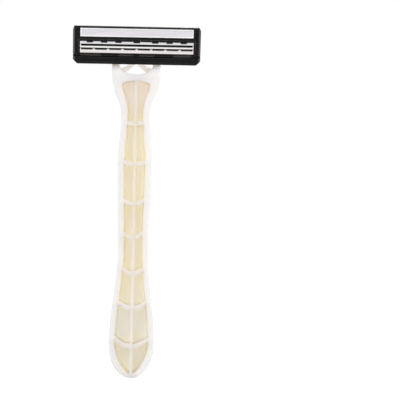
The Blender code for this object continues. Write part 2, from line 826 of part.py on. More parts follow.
def build_strip(material):
    """The lubricating strip: a bar that stands a little proud, with a dished front."""
    back = STRIP_DEPTH - FACE - STRIP_GAP
    front = -FACE - STRIP_PROUD
    half_height = STRIP_HEIGHT / 2
    corners = [
        (STRIP_HALF_LENGTH, STRIP_MIDDLE + half_height),
        (STRIP_HALF_LENGTH, STRIP_MIDDLE - half_height),
    ]
    strip = front_plate("lubricating_strip", [mirrored(corners)], front, back, head_pivot, material)
    dish_length = STRIP_HALF_LENGTH - STRIP_BORDER
    dish_height = half_height - STRIP_BORDER
    low = (-dish_length, front - BEYOND, STRIP_MIDDLE - dish_height)
    high = (dish_length, front + STRIP_DISH, STRIP_MIDDLE + dish_height)
    cut(strip, box("strip_dish", low, high, head_pivot))
    return strip


def post_height():
    """How far the posts stand above the upper blade's edge: a set distance under the lower blade's back."""
    return blade_places()[-1][0] + BLADE_WIDTH - POST_INSET


def post_holes():
    """The cutter for both post holes, through the whole stack."""
    holes = []
    for side, name in ((1, "post_hole_right"), (-1, "post_hole_left")):
        radius = POST_RADIUS + POST_GAP
        holes.append(post(name, radius, -FACE, FACE, side * POST_PLACE, post_height(), blade_stack))
    return holes


def build_blades(material, holes):
    half_length = INNER_HALF_WIDTH - CLEARANCE
    names = ("blade_upper", "blade_middle", "blade_lower")
    for name, (edge, front) in zip(names, blade_places()):
        outline = [
            (front + BLADE_THICKNESS / 2, edge),
            (front, edge + BLADE_GRIND),
            (front, edge + BLADE_WIDTH),
            (front + BLADE_THICKNESS, edge + BLADE_WIDTH),
            (front + BLADE_THICKNESS, edge + BLADE_GRIND),
        ]
        cut(side_bar(name, outline, -half_length, half_length, blade_stack, material), *holes)


def notch_row(edge):
    """The cutter for the lower spacer's notches: one body for each, evenly spaced."""
    build = bmesh.new()
    for number in range(NOTCH_COUNT):
        middle = (number - (NOTCH_COUNT - 1) / 2) * NOTCH_PITCH
        made = bmesh.ops.create_cube(build, size=2.0)
        for vertex in made["verts"]:
            x, y, z = vertex.co
            vertex.co = (middle + x * NOTCH_HALF_WIDTH, y * FACE, edge + z * NOTCH_DEPTH)
    return new_object("spacer_notches", mesh_of("spacer_notches", build), blade_stack)


def build_spacers(material, holes):
    """Plates that reach a little past the blade above them. The lower one is notched along its edge."""
    places = blade_places()
    half_length = INNER_HALF_WIDTH - 2 * CLEARANCE
    names = ("spacer_upper", "spacer_lower")
    spacers = []
    for name, above, below, reach in zip(names, places, places[1:], SPACER_REACH):
        edge = above[0] - reach
        outline = mirrored([(half_length, below[0] + BLADE_WIDTH), (half_length, edge)])
        near = above[1] + BLADE_THICKNESS + STACK_GAP
        far = below[1] - STACK_GAP
        spacer = front_plate(name, [outline], near, far, blade_stack, material)
        cut(spacer, *holes)
        spacers.append(spacer)
    cut(spacers[-1], notch_row(places[1][0] - SPACER_REACH[-1]))


def base_blank(material):
    """The base's bar: guard in front, slanted seat for the blades, and the back wall."""
    nose = UPPER_EDGE - UPPER_STEP - LOWER_STEP + BLADE_GRIND * math.cos(BLADE_ANGLE)
    step = GUARD_STEP - FACE
    outline = [
        (-BACK_WALL, RAIL_UNDER - CLEARANCE),
        (STACK_BACK, RAIL_UNDER - CLEARANCE),
        (STACK_BACK, seat_height(STACK_BACK)),
        (blade_plane(SEAT, nose), nose),
        (step, nose - OVERLAP),
        (step, GUARD_EDGE - GUARD_TOP),
        (GUARD_EDGE - FACE, -GUARD_TOP),
        (-FACE, -GUARD_TOP - GUARD_EDGE),
        (-FACE, -HEAD_BOTTOM),
        (CHIN_EDGE - FACE, -HEAD_BOTTOM - GUARD_DROP + CHIN_RISE),
        (CHIN_DEPTH - FACE, -HEAD_BOTTOM - GUARD_DROP),
        (-BACK_WALL, -HEAD_BOTTOM),
    ]
    return side_bar("cartridge_base", outline, -HEAD_HALF_WIDTH, HEAD_HALF_WIDTH, head_pivot, material)


def seat_height(depth):
    """Height of the blades' seat at a depth."""
    reach = depth - (EDGE_SETBACK - FACE) - SEAT / math.cos(BLADE_ANGLE)
    return UPPER_EDGE + reach / math.tan(BLADE_ANGLE)


def base_silhouette():
    """The base from the front: straight sides and chamfered lower corners."""
    low = -HEAD_BOTTOM - 2 * BEYOND
    chamfer_top = -HEAD_BOTTOM - GUARD_DROP + GUARD_CHAMFER
    half = [
        (HEAD_HALF_WIDTH + OVERLAP, HEAD_TOP + BEYOND),
        (HEAD_HALF_WIDTH + OVERLAP, chamfer_top + OVERLAP),
        (HEAD_HALF_WIDTH - (chamfer_top - low), low),
    ]
    return front_plate("base_silhouette", [mirrored(half)], -BEHIND, BEHIND, head_pivot)


def bearing(side):
    """A barrel-shaped lug that holds one arm's pin: saddle below, slotted hood above, cheek outside."""
    name = "right" if side > 0 else "left"
    left, right = sorted((side * BEARING_INNER, side * BEARING_OUTER))
    turn = BEARING_BACK - BARREL_ROUND
    barrel = [(left, -BACK_WALL - OVERLAP), (right, -BACK_WALL - OVERLAP)]
    barrel += arc((right - BARREL_ROUND, turn), BARREL_ROUND, 0, 90)
    barrel += arc((left + BARREL_ROUND, turn), BARREL_ROUND, 90, 180)
    block = plan_plate(f"bearing_{name}", barrel, -BEARING_FOOT - OVERLAP, HOOD_TOP + OVERLAP, head_pivot)
    hood = longer((0.0, HOOD_TOP), (BEARING_BACK, HOOD_TOP - HOOD_CHAMFER), OVERLAP)[1]
    foot_start = (BEARING_BACK, FOOT_CHAMFER - BEARING_FOOT)
    foot = longer(foot_start, (BEARING_BACK - FOOT_CHAMFER, -BEARING_FOOT), OVERLAP)[0]
    outline = [
        (-BACK_WALL - 2 * OVERLAP, HOOD_TOP),
        (0.0, HOOD_TOP),
        hood,
        foot,
        (BEARING_BACK - FOOT_CHAMFER, -BEARING_FOOT),
        (-BACK_WALL - 2 * OVERLAP, -BEARING_FOOT),
    ]
    keep_common(block, side_bar(f"profile_{name}", outline, left - OVERLAP, right + OVERLAP, head_pivot))
    inner = sorted((side * (BEARING_INNER - OVERLAP), side * (BEARING_OUTER - CHEEK)))
    bore = PIN_RADIUS + CLEARANCE
    lip = math.degrees(math.asin(MOUTH_HALF_HEIGHT / bore))
    journal = [(BEYOND, -MOUTH_HALF_HEIGHT), (BEYOND, MOUTH_HALF_HEIGHT)]
    journal += arc((0, 0), bore, lip, 360 - lip)
    cut(block, side_bar(f"journal_{name}", journal, *inner, head_pivot))
    slot = sorted(side * place for place in HOOD_SLOT)
    low = (slot[0], OVERLAP - BACK_WALL, bore + HOOD_SLOT_RISE)
    cut(block, box(f"hood_slot_{name}", low, (slot[1], BEYOND, HOOD_TOP + BEYOND), head_pivot))
    return block


def cam_rib(side):
    """A guide rib whose round lower end rests over the tongue's bar."""
    turn = math.cos(HEAD_TILT)
    drop = CAM_REACH * math.sin(HEAD_TILT)
    middle = (CLEARANCE + CAM_RADIUS + drop - BAR_DROP) / turn
    outline = [(-BACK_WALL - OVERLAP, middle + CAM_RADIUS)]
    outline += arc((CAM_REACH, middle), CAM_RADIUS, -90, 0)
    outline += [(CAM_REACH + CAM_RADIUS, middle + 2 * CAM_RADIUS), (-BACK_WALL - OVERLAP, RIB_TOP)]
    ends = sorted((side * RIB_INNER, side * RIB_OUTER))
    return side_bar(f"cam_rib_{'right' if side > 0 else 'left'}", outline, *ends, head_pivot)


def rinse_window(side, span, number):
    """A slot from between the lower blade and the guard, up through the base to its back."""
    rise = math.tan(WINDOW_SLOPE)
    near, far = GUARD_STEP - FACE - WINDOW_START, BEYOND
    half = WINDOW_HEIGHT / 2
    start = -WINDOW_MIDDLE
    end = start + (far - near) * rise
    outline = [(near, start - half), (far, end - half), (far, end + half), (near, start + half)]
    ends = sorted((side * span[0], side * span[1]))
    return side_bar(f"rinse_window_{number}", outline, *ends, head_pivot)


def build_base(material):
    """The head's lower half: guard, seat, posts, rinse windows, bearings and ribs."""
    base = base_blank(material)
    keep_common(base, head_plan("base_plan"))
    keep_common(base, base_silhouette())
    sides = ((1, "right"), (-1, "left"))
    for side, name in sides:
        inner = INNER_HALF_WIDTH - CLEARANCE
        outer = HEAD_HALF_WIDTH + BEYOND
        ends = sorted((side * inner, side * outer))
        low = (ends[0], -BEHIND, PILLAR_BOTTOM - CLEARANCE)
        high = (ends[1], STACK_BACK + CLEARANCE, HEAD_TOP)
        cut(base, box(f"pillar_space_{name}", low, high, head_pivot))
        for number, span in enumerate(WINDOW_SPANS):
            cut(base, rinse_window(side, span, f"{name}_{number}"))
        ends = sorted((side * PANEL_INNER, side * PANEL_OUTER))
        for number, (under, over) in enumerate(PANEL_SPANS):
            low = (ends[0], -BACK_WALL - PANEL_DEPTH, under)
            high = (ends[1], BEYOND, over)
            cut(base, box(f"back_panel_{name}_{number}", low, high, head_pivot))
        mark = (side * MARK_PLACE[0], MARK_PLACE[1])
        cut(base, post(f"mark_{name}", MARK_RADIUS, -BACK_WALL - MARK_DEPTH, BEYOND, *mark, head_pivot))
    for side, name in sides:
        far = SEAT + POST_LENGTH
        peg = post(f"post_{name}", POST_RADIUS, 0.0, far, side * POST_PLACE, post_height(), blade_stack)
        join(base, bearing(side), cam_rib(side), peg)
    rail_back = (TONGUE_FRONT - CLEARANCE + RAIL_FOOT * math.sin(HEAD_TILT)) / math.cos(HEAD_TILT)
    low = (-RAIL_HALF_LENGTH, -BACK_WALL - OVERLAP, -RAIL_FOOT)
    high = (RAIL_HALF_LENGTH, rail_back, -RAIL_TOP)
    join(base, box("tongue_rail", low, high, head_pivot))
    join(base, crown("base_crown", RAIL_UNDER - CLEARANCE - CROWN_SEAM, CROWN_FOOT))
    smooth_round(base)
    return base


def build_razor():
    milk = new_material("milky_plastic", (0.86, 0.82, 0.74), 0.35)
    black = new_material("black_plastic", (0.012, 0.012, 0.014), 0.35)
    strip = new_material("strip_polymer", (0.80, 0.78, 0.82), 0.5)
    steel = new_material("blade_steel", (0.72, 0.70, 0.69), 0.22, 1.0)
    tin = new_material("spacer_plastic", (0.03, 0.03, 0.035), 0.4)
    build_handle(milk)
    build_wishbone(milk.copy())
    build_plunger(milk.copy())
    build_base(black)
    build_cover(black.copy())
    build_strip(strip)
    holes = post_holes()
    build_blades(steel, holes)
    build_spacers(tin, holes)


build_razor()
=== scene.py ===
import json
import math

import bmesh
import bpy
from mathutils import Matrix, Vector

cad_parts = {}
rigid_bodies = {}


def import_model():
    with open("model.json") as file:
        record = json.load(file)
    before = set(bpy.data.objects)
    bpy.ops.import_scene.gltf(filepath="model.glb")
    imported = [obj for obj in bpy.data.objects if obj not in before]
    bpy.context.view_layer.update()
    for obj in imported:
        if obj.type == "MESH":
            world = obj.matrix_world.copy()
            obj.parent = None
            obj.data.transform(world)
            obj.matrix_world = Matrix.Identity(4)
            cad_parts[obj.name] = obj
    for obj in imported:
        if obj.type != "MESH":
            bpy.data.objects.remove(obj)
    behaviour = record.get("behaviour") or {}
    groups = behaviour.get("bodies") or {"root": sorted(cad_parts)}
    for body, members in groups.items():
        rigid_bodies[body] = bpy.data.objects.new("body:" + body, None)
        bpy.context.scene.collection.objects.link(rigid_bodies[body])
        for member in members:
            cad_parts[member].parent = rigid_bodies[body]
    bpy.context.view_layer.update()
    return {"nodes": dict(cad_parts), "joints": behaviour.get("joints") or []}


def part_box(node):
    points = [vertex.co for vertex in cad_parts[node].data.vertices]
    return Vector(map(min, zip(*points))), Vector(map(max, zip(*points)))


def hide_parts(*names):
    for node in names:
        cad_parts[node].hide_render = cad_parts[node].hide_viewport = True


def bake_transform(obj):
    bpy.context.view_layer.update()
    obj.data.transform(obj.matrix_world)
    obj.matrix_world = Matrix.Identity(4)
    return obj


for leftOver in list(bpy.data.objects):
    bpy.data.objects.remove(leftOver)

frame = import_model()
nodes = frame["nodes"]
print("frame loaded:", len(nodes), "nodes")

mm = 0.001


# a shader node group with named sockets; inputs are (name, value), outputs are (name, socket type)
def newGroup(name, inputs, outputs):
    group = bpy.data.node_groups.new(name, "ShaderNodeTree")
    for socketName, value in inputs:
        socket = group.interface.new_socket(socketName, in_out="INPUT", socket_type="NodeSocketFloat")
        socket.default_value = value
    for socketName, socketType in outputs:
        group.interface.new_socket(socketName, in_out="OUTPUT", socket_type=socketType)
    return group, group.nodes.new("NodeGroupInput"), group.nodes.new("NodeGroupOutput")


def addNode(tree, kind, **values):
    made = tree.nodes.new(kind)
    for name, value in values.items():
        setattr(made, name, value)
    return made


# a value or a socket goes into an input
def feed(tree, target, source):
    if hasattr(source, "is_output"):
        tree.links.new(source, target)
    else:
        target.default_value = source


def mathNode(tree, operation, first, second=None, clamp=False):
    made = addNode(tree, "ShaderNodeMath", operation=operation, use_clamp=clamp)
    feed(tree, made.inputs[0], first)
    if second is not None:
        feed(tree, made.inputs[1], second)
    return made.outputs[0]


def mixColour(tree, factor, first, second):
    made = addNode(tree, "ShaderNodeMix", data_type="RGBA")
    feed(tree, made.inputs["Factor"], factor)
    feed(tree, made.inputs[6], first)
    feed(tree, made.inputs[7], second)
    return made.outputs[2]


# from zero at low to one at high, eased at both ends
def ramp(tree, value, low, high, newLow=0.0, newHigh=1.0):
    made = addNode(tree, "ShaderNodeMapRange", interpolation_type="SMOOTHSTEP")
    feed(tree, made.inputs["Value"], value)
    feed(tree, made.inputs["From Min"], low)
    feed(tree, made.inputs["From Max"], high)
    feed(tree, made.inputs["To Min"], newLow)
    feed(tree, made.inputs["To Max"], newHigh)
    return made.outputs["Result"]


# from one at low to zero at high
def fall(tree, value, low, high):
    return ramp(tree, value, low, high, 1.0, 0.0)


def product(tree, first, *others):
    for other in others:
        first = mathNode(tree, "MULTIPLY", first, other)
    return first


# edges: a mask along every edge of a piece, which places painted highlights and painted shade, and a normal
# that rounds it
edgeGroup, inside, outside = newGroup(
    "moulded_edges", [("Radius", 0.2 * mm), ("Gain", 4.0)],
    [("Mask", "NodeSocketFloat"), ("Normal", "NodeSocketVector")])
rounding = addNode(edgeGroup, "ShaderNodeBevel", samples=6)
feed(edgeGroup, rounding.inputs["Radius"], inside.outputs["Radius"])
plainNormal = addNode(edgeGroup, "ShaderNodeNewGeometry")
turned = addNode(edgeGroup, "ShaderNodeVectorMath", operation="DOT_PRODUCT")
feed(edgeGroup, turned.inputs[0], rounding.outputs["Normal"])
feed(edgeGroup, turned.inputs[1], plainNormal.outputs["Normal"])
bend = mathNode(edgeGroup, "SUBTRACT", 1.0, turned.outputs["Value"])
feed(edgeGroup, outside.inputs["Mask"], mathNode(edgeGroup, "MULTIPLY", bend, inside.outputs["Gain"], True))
feed(edgeGroup, outside.inputs["Normal"], rounding.outputs["Normal"])

# hollows: one deep in a piece's own recess and zero in the open; it places painted light and painted shade
# in the recesses
hollowGroup, inside, outside = newGroup(
    "hollows", [("Reach", 4 * mm), ("Start", 0.15), ("Full", 0.75)],
    [("Mask", "NodeSocketFloat"), ("Depth", "NodeSocketFloat")])
openness = addNode(hollowGroup, "ShaderNodeAmbientOcclusion", samples=8, only_local=True)
feed(hollowGroup, openness.inputs["Distance"], inside.outputs["Reach"])
closed = mathNode(hollowGroup, "SUBTRACT", 1.0, openness.outputs["AO"])
feed(hollowGroup, outside.inputs["Depth"], closed)
feed(hollowGroup, outside.inputs["Mask"],
     ramp(hollowGroup, closed, inside.outputs["Start"], inside.outputs["Full"]))

# skin: fine moulded grain, and slow clouds of tone
skinGroup, inside, outside = newGroup(
    "moulded_skin", [("Grain Scale", 2600.0), ("Cloud Scale", 110.0)],
    [("Grain", "NodeSocketFloat"), ("Cloud", "NodeSocketFloat")])
place = addNode(skinGroup, "ShaderNodeTexCoord")
for outName, scaleName, detail in (("Grain", "Grain Scale", 3.0), ("Cloud", "Cloud Scale", 2.0)):
    noise = addNode(skinGroup, "ShaderNodeTexNoise")
    feed(skinGroup, noise.inputs["Vector"], place.outputs["Object"])
    feed(skinGroup, noise.inputs["Scale"], inside.outputs[scaleName])
    feed(skinGroup, noise.inputs["Detail"], detail)
    feed(skinGroup, outside.inputs[outName], noise.outputs["Fac"])

# drawn lines: grain pulled out along the head, for ground steel and the extruded strip
drawnGroup, inside, outside = newGroup(
    "drawn_lines", [("Scale", 5000.0), ("Stretch", 0.01)], [("Lines", "NodeSocketFloat")])
place = addNode(drawnGroup, "ShaderNodeTexCoord")
pull = addNode(drawnGroup, "ShaderNodeCombineXYZ")
feed(drawnGroup, pull.inputs["X"], inside.outputs["Stretch"])
feed(drawnGroup, pull.inputs["Y"], 1.0)
feed(drawnGroup, pull.inputs["Z"], 1.0)
pulled = addNode(drawnGroup, "ShaderNodeVectorMath", operation="MULTIPLY")
feed(drawnGroup, pulled.inputs[0], place.outputs["Object"])
feed(drawnGroup, pulled.inputs[1], pull.outputs["Vector"])
noise = addNode(drawnGroup, "ShaderNodeTexNoise")
feed(drawnGroup, noise.inputs["Vector"], pulled.outputs["Vector"])
feed(drawnGroup, noise.inputs["Scale"], inside.outputs["Scale"])
feed(drawnGroup, noise.inputs["Detail"], 2.0)
feed(drawnGroup, outside.inputs["Lines"], noise.outputs["Fac"])
print("shader groups made")


def useGroup(tree, group, **values):
    made = addNode(tree, "ShaderNodeGroup", node_tree=group)
    for name, value in values.items():
        feed(tree, made.inputs[name.replace("_", " ")], value)
    return made


def newFinish(name, **constants):
    made = bpy.data.materials.new(name)
    made.use_nodes = True
    shader = made.node_tree.nodes["Principled BSDF"]
    for socketName, value in constants.items():
        shader.inputs[socketName.replace("_", " ")].default_value = value
    return made, made.node_tree, shader


def addBump(tree, shader, height, distance, normal=None):
    bump = addNode(tree, "ShaderNodeBump")
    bump.inputs["Strength"].default_value = 1.0
    bump.inputs["Distance"].default_value = distance
    feed(tree, bump.inputs["Height"], height)
    if normal is not None:
        feed(tree, bump.inputs["Normal"], normal)
    feed(tree, shader.inputs["Normal"], bump.outputs["Normal"])


# how far a surface lies from a point, along a direction
def along(tree, origin, direction):
    place = addNode(tree, "ShaderNodeTexCoord")
    fromOrigin = addNode(tree, "ShaderNodeVectorMath", operation="SUBTRACT")
    feed(tree, fromOrigin.inputs[0], place.outputs["Object"])
    fromOrigin.inputs[1].default_value = origin
    reach = addNode(tree, "ShaderNodeVectorMath", operation="DOT_PRODUCT")
    feed(tree, reach.inputs[0], fromOrigin.outputs["Vector"])
    reach.inputs[1].default_value = direction
    return reach.outputs["Value"]


# how far faces turn to either end, to the back, and up or down
def facings(tree):
    facing = addNode(tree, "ShaderNodeNewGeometry")
    parts = addNode(tree, "ShaderNodeSeparateXYZ")
    feed(tree, parts.inputs["Vector"], facing.outputs["Normal"])
    sideways = mathNode(tree, "ABSOLUTE", parts.outputs["X"])
    return sideways, parts.outputs["Y"], mathNode(tree, "ABSOLUTE", parts.outputs["Z"])


def useHollows(tree, reach, start, full):
    return useGroup(tree, hollowGroup, Reach=reach, Start=start, Full=full)


# roughness that follows a grain or drawn lines, by the spread below and above its middle
def addRoughness(tree, shader, grain, middle, spread, span=(0.3, 0.7)):
    feed(tree, shader.inputs["Roughness"], ramp(tree, grain, *span, middle + spread[0], middle + spread[1]))


milkLook = {
    "open": (0.905, 0.870, 0.835, 1),      # rims, ribs and the outside
    "cloud": (0.890, 0.845, 0.800, 1),
    "cell": (0.980, 0.932, 0.790, 1),      # painted light on the cells' floors, where light soaks through
    "cellCloud": (0.975, 0.912, 0.765, 1),
    # painted shade in the top cells
    "cellTop": (0.872, 0.770, 0.690, 1),
    "corner": (0.985, 0.925, 0.730, 1),    # painted light in the cells' corners
    "inner": (0.842, 0.762, 0.680, 1),     # painted shade in the channel and on ribs and spine, more so higher up
    "innerSpan": (10.0 * mm, 36.0 * mm),
    "spineHalf": (0.9 * mm, 1.3 * mm),
    # painted highlight along edges
    "edge": (0.960, 0.945, 0.930, 1),
    # painted shade along edges in the channel
    "innerEdge": (0.845, 0.760, 0.660, 1),
    "panel": (0.845, 0.795, 0.755, 1),     # painted shade on the flat back
    "flank": (0.955, 0.930, 0.910, 1),     # painted highlight on the slanted bands beside it
    # painted shade on the grip ridges' slanted faces
    "gripLine": (0.775, 0.728, 0.625, 1),
    "gripSpan": (40.0 * mm, 70.5 * mm),
    "innerGlow": (0.026, 0.010, 0.002, 1),     # painted light: what comes through the wall from behind
    # painted light in the cells, weaker at the top and low down, stronger in the corners
    "cellGlow": (0.060, 0.034, 0.007, 1),
    "topGlow": (0.010, 0.002, 0.000, 1),
    "lowGlow": (0.020, 0.010, 0.006, 1),
    "cornerGlow": (0.080, 0.054, 0.012, 1),
    "lowSpan": (2.0 * mm, 24.0 * mm),
    "noGlow": (0.000, 0.000, 0.000, 1),
    # painted light that lifts the arms' tops and the butt's underside out of shade
    "armGlow": (0.100, 0.092, 0.085, 1),
    "tongueGlow": (0.165, 0.155, 0.145, 1),    # painted light that lifts the tongue out of the shade under the head, stronger than on the arms
    # where that painted light starts on the arms and fades from the butt
    "armStart": (86.0 * mm, 88.5 * mm),
    "buttEnd": (-14.6 * mm, -11.0 * mm),
    "buttShare": 0.7,
    "topSpan": (64.0 * mm, 82.0 * mm),
    "channelEnd": (84.5 * mm, 86.5 * mm),
    "cellReach": 12.0 * mm,          # how far the cells' shading looks, and how closed a cell is
    "cellDepth": (0.46, 0.62),
    "channelDepth": (0.12, 0.42),
    "cornerReach": 5.0 * mm,
    "cornerDepth": (0.64, 0.90),
    "innerLeast": 0.1,
    "spineFacing": (-0.6, -0.3),     # from here on, how far faces turn before they belong to a part
    "lineTurn": (0.12, 0.45),
    "panelTurn": (0.10, 0.25),
    "panelFacing": (0.3, 0.6),
    "flankTurn": (0.25, 0.50),
    "flankFacing": (0.05, 0.30),
    "edgeRadius": 0.22 * mm,
    "edgeGain": 3.0,
    "edgeShare": 0.7,
    "grainScale": 3200.0,
    "cloudScale": 95.0,
    "cloudSpan": (0.40, 0.62),
    "roughness": 0.36,
    "roughSpread": (-0.05, 0.06),
    "bumpDepth": 0.004 * mm,
    "ior": 1.49,
    "specular": 0.40,
    "soakWeight": 1.0,
    "soak": (0.0090, 0.0080, 0.0060),
}


def milkFinish(name, endGlow):
    look = milkLook
    made, tree, shader = newFinish(
        name, Subsurface_Weight=look["soakWeight"], Subsurface_Scale=1.0, Subsurface_Radius=look["soak"],
        IOR=look["ior"], Specular_IOR_Level=look["specular"], Emission_Strength=1.0)
    height = along(tree, (0, 0, 0), (0, 0, 1))
    out = mathNode(tree, "ABSOLUTE", along(tree, (0, 0, 0), (1, 0, 0)))
    sideways, backward, upright = facings(tree)
    edges = useGroup(tree, edgeGroup, Radius=look["edgeRadius"], Gain=look["edgeGain"])
    skin = useGroup(tree, skinGroup, Grain_Scale=look["grainScale"], Cloud_Scale=look["cloudScale"])
    cloud = ramp(tree, skin.outputs["Cloud"], *look["cloudSpan"])
    cells = useHollows(tree, look["cellReach"], *look["cellDepth"])
    corner = useHollows(tree, look["cornerReach"], *look["cornerDepth"]).outputs["Mask"]

    # where a point lies: the channel, a cell, the spine, and on the back a line, the panel or a flank;
    # these masks place painted light and painted shade
    channel = fall(tree, height, *look["channelEnd"])
    top = ramp(tree, height, *look["topSpan"])
    inCell = product(tree, cells.outputs["Mask"], channel)
    inChannel = product(tree, ramp(tree, cells.outputs["Depth"], *look["channelDepth"]), channel)
    onSpine = product(
        tree, fall(tree, out, *look["spineHalf"]), fall(tree, backward, *look["spineFacing"]), channel)
    inner = mathNode(tree, "MAXIMUM", inChannel, onSpine)
    innerShare = product(tree, inner, ramp(tree, height, *look["innerSpan"], look["innerLeast"], 1.0))
    low, high = look["gripSpan"]
    inGrip = product(tree, ramp(tree, height, low, low + mm), fall(tree, height, high, high + mm))
    onLine = product(tree, ramp(tree, upright, *look["lineTurn"]), inGrip)
    onPanel = product(
        tree, fall(tree, sideways, *look["panelTurn"]), ramp(tree, backward, *look["panelFacing"]))
    onFlank = product(
        tree, ramp(tree, sideways, *look["flankTurn"]), ramp(tree, backward, *look["flankFacing"]))

    # painted light in the cells, more in the corners, with painted shade in the top cells
    cell = mixColour(tree, cloud, look["cell"], look["cellCloud"])
    cell = mixColour(tree, corner, cell, look["corner"])
    cell = mixColour(tree, top, cell, look["cellTop"])
    # painted shade on the flat back, deeper on its grip lines
    panel = mixColour(tree, onLine, look["panel"], look["gripLine"])
    colour = mixColour(tree, cloud, look["open"], look["cloud"])
    # painted shade in the channel and on the spine
    colour = mixColour(tree, innerShare, colour, look["inner"])
    colour = mixColour(tree, onPanel, colour, panel)
    # painted highlight on the slanted flanks
    colour = mixColour(tree, onFlank, colour, look["flank"])
    colour = mixColour(tree, inCell, colour, cell)
    # painted highlight along the edges, painted shade on edges in the channel
    edgeShare = product(tree, edges.outputs["Mask"], look["edgeShare"])
    edgeColour = mixColour(tree, innerShare, look["edge"], look["innerEdge"])
    feed(tree, shader.inputs["Base Color"], mixColour(tree, edgeShare, colour, edgeColour))

    # painted light: emission that lifts the arms' tops and the butt out of shade, and glows in the channel
    # and the cells
    arms = ramp(tree, height, *look["armStart"])
    butt = ramp(tree, height, *look["buttEnd"], look["buttShare"], 0.0)
    glow = mixColour(tree, mathNode(tree, "MAXIMUM", arms, butt), look["noGlow"], endGlow)
    glow = mixColour(tree, inChannel, glow, look["innerGlow"])
    cellGlow = mixColour(tree, ramp(tree, height, *look["lowSpan"]), look["lowGlow"], look["cellGlow"])
    cellGlow = mixColour(tree, top, cellGlow, look["topGlow"])
    cellGlow = mixColour(tree, corner, cellGlow, look["cornerGlow"])
    feed(tree, shader.inputs["Emission Color"], mixColour(tree, inCell, glow, cellGlow))
    addRoughness(tree, shader, skin.outputs["Grain"], look["roughness"], look["roughSpread"])
    addBump(tree, shader, skin.outputs["Grain"], look["bumpDepth"], edges.outputs["Normal"])
    return made


# the head's own directions, with its pivot as their origin
headPivot = Vector(next(joint["pos_m"] for joint in frame["joints"] if joint["name"] == "head_pivot"))
headNod = math.radians(15)    # the face looks down by this much at rest
headUp = (0, -math.sin(headNod), math.cos(headNod))
headBack = (0, math.cos(headNod), math.sin(headNod))
headOut = (1, 0, 0)

blackLook = {
    "base": (0.0034, 0.0031, 0.0031, 1),
    "cloud": (0.0056, 0.0052, 0.0052, 1),
    # painted highlight along edges
    "edge": (0.120, 0.120, 0.126, 1),
    "bevel": (0.085, 0.085, 0.088, 1),     # painted highlight where the slanted ends catch the light
    "bevelSlant": (-0.42, -0.20),
    "bevelStart": (20.0 * mm, 20.5 * mm),
    "lipEdge": (0.190, 0.186, 0.190, 1),   # painted highlight on the edges of the lip and its tabs
    "lipMiddle": 2.3 * mm,
    "lipHalf": 1.1 * mm,
    "lipFade": 0.1 * mm,
    "edgeRadius": 0.20 * mm,
    "edgeGain": 4.5,
    "grainScale": 4200.0,
    "cloudScale": 260.0,
    "cloudSpan": (0.35, 0.65),
    "roughness": 0.34,
    "roughSpread": (-0.06, 0.08),
    "specular": 0.10,
    "ior": 1.49,
    "bumpDepth": 0.006 * mm,
    "spacerRoughness": 0.45,
    "spacerSpecular": 0.06,
}
# painted light seen in the rinse windows under the lowest blade; their place as heights and depths from the
# pivot
windowLook = {
    "colour": (0.190, 0.160, 0.148, 1),
    "middle": -2.85 * mm,
    "half": 0.50 * mm,
    "near": -5.75 * mm,
    "far": -2.60 * mm,
    "end": 18.90 * mm,
    "fade": 0.08 * mm,
    "facing": (0.1, 0.3),
}


def windowMask(tree):
    look = windowLook
    fade = look["fade"]
    up = along(tree, headPivot, headUp)
    back = along(tree, headPivot, headBack)
    out = mathNode(tree, "ABSOLUTE", along(tree, headPivot, headOut))
    away = mathNode(tree, "ABSOLUTE", mathNode(tree, "SUBTRACT", up, look["middle"]))
    return product(
        tree,
        fall(tree, away, look["half"], look["half"] + fade),
        ramp(tree, back, look["near"], look["near"] + fade),
        fall(tree, back, look["far"], look["far"] + fade),
        fall(tree, out, look["end"], look["end"] + fade),
        fall(tree, facings(tree)[1], *look["facing"]))


# one at the head's ends, on faces that slant between them and the front, where a painted highlight goes
def bevelMask(tree):
    look = blackLook
    sideways, backward = facings(tree)[:2]
    slant = fall(tree, product(tree, sideways, backward), *look["bevelSlant"])
    out = mathNode(tree, "ABSOLUTE", along(tree, headPivot, headOut))
    return product(tree, slant, ramp(tree, out, *look["bevelStart"]))


def blackFinish(name, roughness, specular, windows=False):
    look = blackLook
    made, tree, shader = newFinish(name, IOR=look["ior"], Specular_IOR_Level=specular)
    edges = useGroup(tree, edgeGroup, Radius=look["edgeRadius"], Gain=look["edgeGain"])
    skin = useGroup(tree, skinGroup, Grain_Scale=look["grainScale"], Cloud_Scale=look["cloudScale"])
    cloud = ramp(tree, skin.outputs["Cloud"], *look["cloudSpan"])
    colour = mixColour(tree, cloud, look["base"], look["cloud"])
    # painted highlight on the slanted ends
    colour = mixColour(tree, bevelMask(tree), colour, look["bevel"])
    # painted light seen in the rinse windows
    if windows:
        colour = mixColour(tree, windowMask(tree), colour, windowLook["colour"])
    # painted highlights along the edges, brighter on the lip and its tabs
    fromLip = mathNode(tree, "SUBTRACT", along(tree, headPivot, headUp), look["lipMiddle"])
    lipStart = look["lipHalf"] - look["lipFade"]
    onLip = fall(tree, mathNode(tree, "ABSOLUTE", fromLip), lipStart, look["lipHalf"])
    edgeColour = mixColour(tree, onLip, look["edge"], look["lipEdge"])
    feed(tree, shader.inputs["Base Color"], mixColour(tree, edges.outputs["Mask"], colour, edgeColour))
    addRoughness(tree, shader, skin.outputs["Grain"], roughness, look["roughSpread"])
    addBump(tree, shader, skin.outputs["Grain"], look["bumpDepth"], edges.outputs["Normal"])
    return made


